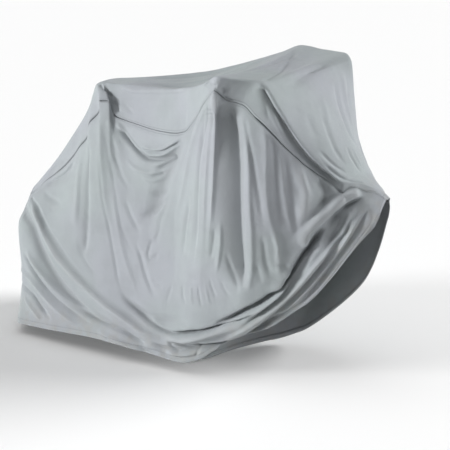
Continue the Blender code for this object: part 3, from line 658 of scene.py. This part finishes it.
def wandered(folds):
    # the same kinds of fold for the far side, moved a little, hands swapped
    rows = []
    for path, width, height, sides, ends, sharp, *lean in folds:
        x, z = path[0]
        swing = math.sin(wander["swing"][0] * x + wander["swing"][1] * z)
        moved = []
        for x, z in path:
            shift = math.sin(wander["shift"][0] * x + wander["shift"][1] * z + swing)
            moved.append((x + wander["x"] * shift, z * wander["z"] + wander["lift"] * swing))
        steepest = wander["steepest"] * max(width)
        height = max(-steepest, min(steepest, height)) * (wander["height"] + wander["uneven"] * swing)
        ends = [max(share, wander["fade"]) for share in ends]
        rows.append((moved, width, height, sides[::-1], ends, sharp, *(-value for value in lean)))
    return rows


def pathOn(grid, path):
    # a side panel's path gives x and z only: y comes from the cloth
    points = np.array(path, float)
    if points.shape[1] == 3:
        return points
    flat = grid.reshape(-1, 3)
    found = []
    for x, z in points:
        nearest = ((flat[:, 0] - x) ** 2 + (flat[:, 2] - z) ** 2).argmin()
        found.append((x, flat[nearest, 1], z))
    return np.array(found)


def folded(grid, outward, folds):
    # each fold's ridge or trough is pushed along the cloth's normals
    facesOut = normals(grid) * outward
    points = grid.reshape(-1, 3)
    out = facesOut.reshape(-1, 3)
    relief = np.zeros(len(points))
    slide = np.zeros(points.shape)
    share = np.linspace(0, 1, cloth["foldSteps"] + 1)
    for row in folds:
        fold = dict(zip(foldColumns, row))
        path = pathOn(grid, fold["path"])
        knots = np.concatenate([[0], np.cumsum(np.linalg.norm(path[1:] - path[:-1], axis=1))])
        line = through(knots / knots[-1], path, share)
        reach = cloth["foldSpread"] * max(fold["width"]) * max(fold["sides"])
        low = line.min(axis=0) - reach
        high = line.max(axis=0) + reach
        near = np.nonzero(((points > low) & (points < high)).all(axis=1))[0]
        away = points[near, None, :] - line
        off = (away * out[near, None, :]).sum(axis=2)
        beside = np.sqrt(np.maximum((away**2).sum(axis=2) - off**2, 0))
        beside[np.abs(off) > cloth["foldReach"]] = np.inf
        nearest = beside.argmin(axis=1)
        ahead = unit(np.gradient(line, axis=0))[nearest]
        gap = away[np.arange(len(near)), nearest]
        leftward = np.cross(out[near], ahead)
        hand = (leftward * gap).sum(axis=1)
        lengths = np.linalg.norm(line[1:] - line[:-1], axis=1)
        step = lengths.max() / 2
        forward = np.clip((gap * ahead).sum(axis=1), -step, step)
        distance = np.sqrt(np.maximum(beside.min(axis=1) ** 2 - forward**2, 0))
        along = np.clip(share[nearest] + forward / lengths.sum(), 0, 1)
        width = fold["width"][0] + (fold["width"][1] - fold["width"][0]) * along
        width = width * np.where(hand < 0, fold["sides"][0], fold["sides"][1])
        start, end = (max(fadeShare, cloth["shortestEnd"]) for fadeShare in fold["ends"])
        fade = smoothStep(along / start) * smoothStep((1 - along) / end)
        push = fold["height"] * fade * np.exp(-((distance / width) ** fold["sharp"]))
        relief[near] += push
        slide[near] += fold.get("lean", 0) * push[:, None] * leftward
    for size, height in zip(crumple["sizes"], crumple["heights"]):
        across = np.array((1, 1, crumple["upright"])) / size
        relief += [height * (crumple["level"] - abs(noise.noise(Vector(point)))) for point in points * across]
    down = facesOut * facesOut[:, :, 2:] - np.array((0, 0, 1))
    raised = relief.reshape(grid.shape[:2])
    hanging = np.maximum(raised, -cloth["sagDepth"])
    grid = grid + facesOut * raised[:, :, None] + cloth["sag"] * down * hanging[:, :, None]
    return grid + slide.reshape(grid.shape), raised


def seamDepth(panel):
    # along the edge, rear hem to front
    along = byStation([(number, np.array([deep])) for number, deep in panel["drawnIn"]], stations(panel))
    return np.concatenate([np.full((cloth["downQuads"], 1), along[0]), along])


def turnedIn(grid, inward, depth):
    # the seam edge, line 0, turned into the cover
    into = unit(grid[1] - grid[0])
    wide = np.maximum(depth, 1)
    edge = [grid[0] + into * across * wide + inward * deep * depth for across, deep in seam["lines"]]
    return np.concatenate([np.array(edge), grid[1:]])


def turnedUp(grid, inward):
    # the hem edge, line 0, turned up inside
    back = [grid[i] + inward[i] * hem["layers"] for i in range(hem["lines"], 0, -1)]
    bend = grid[0] + unit(grid[0] - grid[1]) * hem["bend"] + inward[0] * hem["layers"] / 2
    return np.concatenate([np.array(back), bend[None], grid])


def roundCorner(line):
    # the seam line's values down the back, led in by the lines turned in along the side
    corner = cloth["downQuads"]
    return np.concatenate([np.repeat(line[corner:corner + 1], seamTurned, axis=0), line[corner::-1]])


def finishedSide(side, out, inward, depth):
    # the seam turned in along the side and down the back, then the hem turned up
    corner = cloth["downQuads"]
    upper = turnedIn(side.transpose(1, 0, 2), inward[corner:], depth[corner:])
    whole = turnedIn(upper.transpose(1, 0, 2), roundCorner(inward), roundCorner(depth))
    inLines = -spread(out, (seamTurned, seamTurned), (0, 0))
    hemFirst = turnedUp(whole[:, ::-1].transpose(1, 0, 2), inLines[:, ::-1].transpose(1, 0, 2))
    return hemFirst.transpose(1, 0, 2)[:, ::-1]


def finishedTop(sheet, out, inward, depth):
    # both seams turned in and both hems turned up: inward and depth hold the right's, then the left's
    lines = turnedIn(sheet.transpose(1, 0, 2), inward[0], depth[0])
    lines = turnedIn(lines[::-1], inward[1], depth[1])[::-1]
    out = spread(out, (0, seamTurned), (0, seamTurned))
    withRear = turnedUp(lines.transpose(1, 0, 2), -out)
    out = spread(out, (hemTurned, 0), (0, 0))
    return turnedUp(withRear[::-1], -out[::-1])[::-1]


def overCloth(grid, axis, start):
    # distance over the cloth from line start of an axis
    steps = np.linalg.norm(np.diff(grid, axis=axis), axis=2)
    total = np.insert(np.cumsum(steps, axis=axis), 0, 0, axis=axis)
    return total - np.take(total, [start], axis=axis)


def clothPiece(name, grid, node, raised, seamLines, hemLines):
    # seamLines and hemLines: the axis and the line along which an edge of the cloth runs
    columns, rows = grid.shape[0] - 1, grid.shape[1] - 1
    marks = {
        "fromSeam": np.min([abs(overCloth(grid, *line)) for line in seamLines], axis=0),
        "fromHem": np.min([abs(overCloth(grid, *line)) for line in hemLines], axis=0),
        "raised": raised,
    }
    threads = np.stack([overCloth(grid, 0, 0), overCloth(grid, 1, 0)], axis=2)
    net = bmesh.new()
    bmesh.ops.create_grid(net, x_segments=columns, y_segments=rows, size=1)
    layers = {mark: net.verts.layers.float.new(mark) for mark in marks}
    weaveMap = net.loops.layers.uv.new("weave")
    for vertex in net.verts:
        column = round((vertex.co.x + 1) / 2 * columns)
        row = round((vertex.co.y + 1) / 2 * rows)
        vertex.co = grid[column, row] - mountPoint
        for mark, layer in layers.items():
            vertex[layer] = marks[mark][column, row]
        for loop in vertex.link_loops:
            loop[weaveMap].uv = threads[column, row]
    mesh = bpy.data.meshes.new(name)
    net.to_mesh(mesh)
    net.free()
    mesh.shade_smooth()
    piece = bpy.data.objects.new(name, mesh)
    bpy.context.scene.collection.objects.link(piece)
    thickness = piece.modifiers.new("thickness", "SOLIDIFY")
    thickness.thickness = cloth["thickness"]
    thickness.offset = 0
    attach(piece, "root")
    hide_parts(node)
    return piece


# proofed cover fabric: a close plain weave with a coating
fabric = {
    "coolGrey": (0.306, 0.323, 0.348),
    "greenGrey": (0.298, 0.330, 0.336),
    # a darker tone, used both for patches at random and as painted shade in the creases
    "darkToneAndCreaseShade": (0.250, 0.266, 0.278),
    # paler colour on the raised folds: partly rubbing wear, partly painted highlight
    "wearAndHighlight": (0.370, 0.385, 0.398),
    "dust": (0.285, 0.283, 0.268),
    # patches: their size, their detail, the noise at which they start and are full, then the
    # share or value at each of these where it isn't 0 and 1
    "tint": (0.34, 2, 0.35, 0.65),
    "shade": (0.075, 5, 0.40, 0.75, 0.0, 0.30),
    "dustPatches": (0.03, 4, 0.35, 0.70),
    "roughness": (0.05, 3, 0.3, 0.7, 0.60, 0.78),
    # how far the cloth is raised at either end, then the share of the other colour there
    # raised folds turn paler: partly rubbing wear, partly painted highlight
    "wearAndHighlightRange": (0.002, 0.012, 0.0, 0.30),
    # painted shade: the deeper a crease, the darker it is painted
    "creaseShadeRange": (-0.012, -0.002, 0.55, 0.0),
    "dustFromHem": (0.0, 0.16, 0.55, 0.0),  # the same, by distance from the hem
    "threadStep": 0.0014,
    "threadHeight": 0.00010,
    "crinkle": (0.020, 3),  # size and detail
    "crinkleHeight": 0.0011,
    "metallic": 0.0,
    "gloss": 0.12,
    "sheen": 0.08,
    "sheenRoughness": 0.45,
}
# rows of stitches beside the seams and along the hem
stitches = {
    "rows": (("fromSeam", 0.0065), ("fromHem", 0.0190)),
    "width": 0.0011,
    "step": 0.0045,
    "dash": (-0.25, 0.05),  # of the thread waves' product, where a stitch begins and is whole
    "depth": 0.0005,
    "thread": (0.205, 0.215, 0.230),
}


def connect(tree, socket, value):
    # a socket takes another's output or a fixed value
    if isinstance(value, bpy.types.NodeSocket):
        tree.links.new(value, socket)
    else:
        socket.default_value = value


def calc(tree, operation, *values):
    step = tree.nodes.new("ShaderNodeMath")
    step.operation = operation
    for socket, value in zip(step.inputs, values):
        connect(tree, socket, value)
    return step.outputs["Value"]


def between(tree, value, low, high, first=0.0, last=1.0):
    # first at low and last at high, level beyond them
    change = tree.nodes.new("ShaderNodeMapRange")
    change.interpolation_type = "SMOOTHSTEP"
    entries = {"Value": value, "From Min": low, "From Max": high, "To Min": first, "To Max": last}
    for name, entry in entries.items():
        connect(tree, change.inputs[name], entry)
    return change.outputs["Result"]


def patches(tree, size, detail):
    place = tree.nodes.new("ShaderNodeTexCoord")
    field = tree.nodes.new("ShaderNodeTexNoise")
    field.inputs["Scale"].default_value = 1 / size
    field.inputs["Detail"].default_value = detail
    tree.links.new(place.outputs["Object"], field.inputs["Vector"])
    return field.outputs["Fac"]


def patchy(tree, size, detail, *change):
    return between(tree, patches(tree, size, detail), *change)


def blend(tree, share, first, second):
    mix = tree.nodes.new("ShaderNodeMix")
    mix.data_type = "RGBA"
    connect(tree, mix.inputs["Factor"], share)
    for socket, colour in zip([entry for entry in mix.inputs if entry.type == "RGBA"], (first, second)):
        connect(tree, socket, colour if isinstance(colour, bpy.types.NodeSocket) else (*colour, 1))
    return [result for result in mix.outputs if result.type == "RGBA"][0]


def readMark(tree, name):
    reader = tree.nodes.new("ShaderNodeAttribute")
    reader.attribute_name = name
    return reader.outputs["Fac"]


def threadWaves(tree, step):
    # a wave along and a wave across the cloth, one for each set of threads
    weaveMap = tree.nodes.new("ShaderNodeUVMap")
    weaveMap.uv_map = "weave"
    split = tree.nodes.new("ShaderNodeSeparateXYZ")
    tree.links.new(weaveMap.outputs["UV"], split.inputs["Vector"])
    turns = 2 * math.pi / step
    return [calc(tree, "SINE", calc(tree, "MULTIPLY", split.outputs[axis], turns)) for axis in ("X", "Y")]


def stitchMask(tree):
    # 1 on the stitches of every row and 0 off them
    along, across = threadWaves(tree, stitches["step"])
    dashes = between(tree, calc(tree, "MULTIPLY", along, across), *stitches["dash"])
    found = 0.0
    for edge, distance in stitches["rows"]:
        off = calc(tree, "ABSOLUTE", calc(tree, "SUBTRACT", readMark(tree, edge), distance))
        row = between(tree, off, stitches["width"] / 2, stitches["width"], 1.0, 0.0)
        found = calc(tree, "MAXIMUM", found, row)
    return calc(tree, "MULTIPLY", found, dashes)


def fabricColour(tree, stitched):
    colour = blend(tree, patchy(tree, *fabric["tint"]), fabric["coolGrey"], fabric["greenGrey"])
    colour = blend(tree, patchy(tree, *fabric["shade"]), colour, fabric["darkToneAndCreaseShade"])
    # the raised folds are made paler, partly as rubbing wear and partly as painted highlight, and the creases
    # are darkened with painted shade
    # paler crests: partly rubbing wear, partly painted highlight
    wearAndHighlight = between(tree, readMark(tree, "raised"), *fabric["wearAndHighlightRange"])
    colour = blend(tree, wearAndHighlight, colour, fabric["wearAndHighlight"])
    # painted shade darkening the creases
    creaseShade = between(tree, readMark(tree, "raised"), *fabric["creaseShadeRange"])
    colour = blend(tree, creaseShade, colour, fabric["darkToneAndCreaseShade"])
    low = between(tree, readMark(tree, "fromHem"), *fabric["dustFromHem"])
    dusty = calc(tree, "MULTIPLY", low, patchy(tree, *fabric["dustPatches"]))
    colour = blend(tree, dusty, colour, fabric["dust"])
    return blend(tree, stitched, colour, stitches["thread"])


def clothMaterial(name):
    material = bpy.data.materials.new(name)
    material.use_nodes = True
    tree = material.node_tree
    shader = tree.nodes["Principled BSDF"]
    stitched = stitchMask(tree)
    tree.links.new(fabricColour(tree, stitched), shader.inputs["Base Color"])
    tree.links.new(patchy(tree, *fabric["roughness"]), shader.inputs["Roughness"])
    shader.inputs["Metallic"].default_value = fabric["metallic"]
    shader.inputs["Specular IOR Level"].default_value = fabric["gloss"]
    shader.inputs["Sheen Weight"].default_value = fabric["sheen"]
    shader.inputs["Sheen Roughness"].default_value = fabric["sheenRoughness"]
    along, across = threadWaves(tree, fabric["threadStep"])
    threads = calc(tree, "MULTIPLY", calc(tree, "MULTIPLY", along, across), fabric["threadHeight"])
    crinkle = calc(tree, "MULTIPLY", patches(tree, *fabric["crinkle"]), fabric["crinkleHeight"])
    surface = calc(tree, "ADD", threads, crinkle)
    surface = calc(tree, "SUBTRACT", surface, calc(tree, "MULTIPLY", stitched, stitches["depth"]))
    bump = tree.nodes.new("ShaderNodeBump")
    bump.inputs["Distance"].default_value = 1.0
    tree.links.new(surface, bump.inputs["Height"])
    tree.links.new(bump.outputs["Normal"], shader.inputs["Normal"])
    return material


sideAxes = (0, 2)
allAxes = (0, 1, 2)
rightSheet = sideSheet(rightPanel)
onSide = fromView(rightSheet, rightPanel["outward"])
hangingFolds = swagFolds + fanFolds + rippleFolds
rightFolds = rearFolds + saddleFolds + flapFolds + hangingFolds + footFolds + bandFolds
leftFolds = rearFolds + saddleFolds + hangingFolds
right, rightRaised = folded(rightSheet, rightPanel["outward"], placed(rightFolds, onSide, sideAxes))
leftFolds = wandered(placed(leftFolds, onSide, sideAxes))
left, leftRaised = folded(sideSheet(leftPanel), leftPanel["outward"], leftFolds)
print("side panels folded")
top = topSheet(seamLine(right), seamLine(left))
topFolds = placed(capeFolds, fromView(top, topPanel["outward"]), allAxes)
topFolds += placed(crossFolds, fromAbove(top), allAxes)
topFolds += placed(backFolds, np.array, allAxes)
top, topRaised = folded(top, topPanel["outward"], topFolds)
top[:, 0] = seamLine(right)
top[:, -1] = seamLine(left)
print("top panel folded")

rightOut = normals(right) * rightPanel["outward"]
leftOut = normals(left) * leftPanel["outward"]
topOut = normals(top) * topPanel["outward"]
rightIn = -unit(seamLine(rightOut) + topOut[:, 0])
leftIn = -unit(seamLine(leftOut) + topOut[:, -1])
rightDepth = seamDepth(rightPanel)
leftDepth = seamDepth(leftPanel)

hemBend = hem["lines"]  # the line of a finished sheet on which its hem is bent
pieces = [
    clothPiece(
        "topPanel", finishedTop(top, topOut, (rightIn, leftIn), (rightDepth, leftDepth)), topPanel["node"],
        spread(topRaised, (hemTurned, seamTurned), (hemTurned, seamTurned)),
        ((1, seamTurned), (1, -1 - seamTurned)), ((0, hemBend), (0, -1 - hemBend)),
    ),
]
sides = (
    ("rightPanel", right, rightOut, rightIn, rightDepth, rightPanel["node"], rightRaised),
    ("leftPanel", left, leftOut, leftIn, leftDepth, leftPanel["node"], leftRaised),
)
for name, side, out, inward, depth, node, raised in sides:
    raised = spread(raised, (seamTurned, seamTurned), (0, hemTurned))
    grid = finishedSide(side, out, inward, depth)
    seamLines = ((1, seamTurned), (0, seamTurned))
    pieces.append(clothPiece(name, grid, node, raised, seamLines, ((1, -1 - hemBend),)))
for piece in pieces:
    piece.data.materials.append(clothMaterial(piece.name + "Fabric"))
    print(piece.name, len(piece.data.polygons), "quads")

studio = {
    "floor": 30.0,
    "floorColour": (0.86, 0.86, 0.86),
    "floorRoughness": 0.8,
    # each sun's name, the way to it, its power and its spread in degrees
    "suns": (
        ("keySun", (-0.74, -0.66, 0.13), 4.0, 15),
        ("backSun", (0.66, 0.58, 0.42), 3.9, 40),
        ("overheadSun", (-0.15, -0.25, 1.0), 0.8, 60),
    ),
    "world": 0.22,
}


def makeFloor():
    net = bmesh.new()
    bmesh.ops.create_grid(net, x_segments=1, y_segments=1, size=studio["floor"])
    bmesh.ops.translate(net, verts=net.verts, vec=(0, 0, -mountPoint[2]))
    mesh = bpy.data.meshes.new("floor")
    net.to_mesh(mesh)
    net.free()
    floor = bpy.data.objects.new("floor", mesh)
    bpy.context.scene.collection.objects.link(floor)
    material = bpy.data.materials.new("floorPaint")
    material.use_nodes = True
    shader = material.node_tree.nodes["Principled BSDF"]
    shader.inputs["Base Color"].default_value = (*studio["floorColour"], 1)
    shader.inputs["Roughness"].default_value = studio["floorRoughness"]
    floor.data.materials.append(material)


def makeSun(name, place, power, spreadAngle):
    data = bpy.data.lights.new(name, "SUN")
    data.energy = power
    data.angle = math.radians(spreadAngle)
    light = bpy.data.objects.new(name, data)
    light.rotation_euler = Vector(place).to_track_quat("Z", "Y").to_euler()
    bpy.context.scene.collection.objects.link(light)


def makeCamera():
    data = bpy.data.cameras.new("camera")
    data.sensor_width = view["sensor"]
    data.lens = view["focal"] / view["width"] * data.sensor_width
    camera = bpy.data.objects.new("camera", data)
    turn = math.radians(view["azimuth"])
    tilt = math.radians(90 - view["elevation"])
    camera.location = view["camera"]
    camera.rotation_euler = (tilt, 0, turn)
    bpy.context.scene.collection.objects.link(camera)
    bpy.context.scene.camera = camera


def makeWorld():
    world = bpy.data.worlds.new("studioWorld")
    world.use_nodes = True
    background = world.node_tree.nodes["Background"]
    background.inputs["Color"].default_value = (1, 1, 1, 1)
    background.inputs["Strength"].default_value = studio["world"]
    bpy.context.scene.world = world
    bpy.context.scene.view_settings.view_transform = "Standard"


makeFloor()
for sun in studio["suns"]:
    makeSun(*sun)
makeCamera()
makeWorld()
print("studio ready")
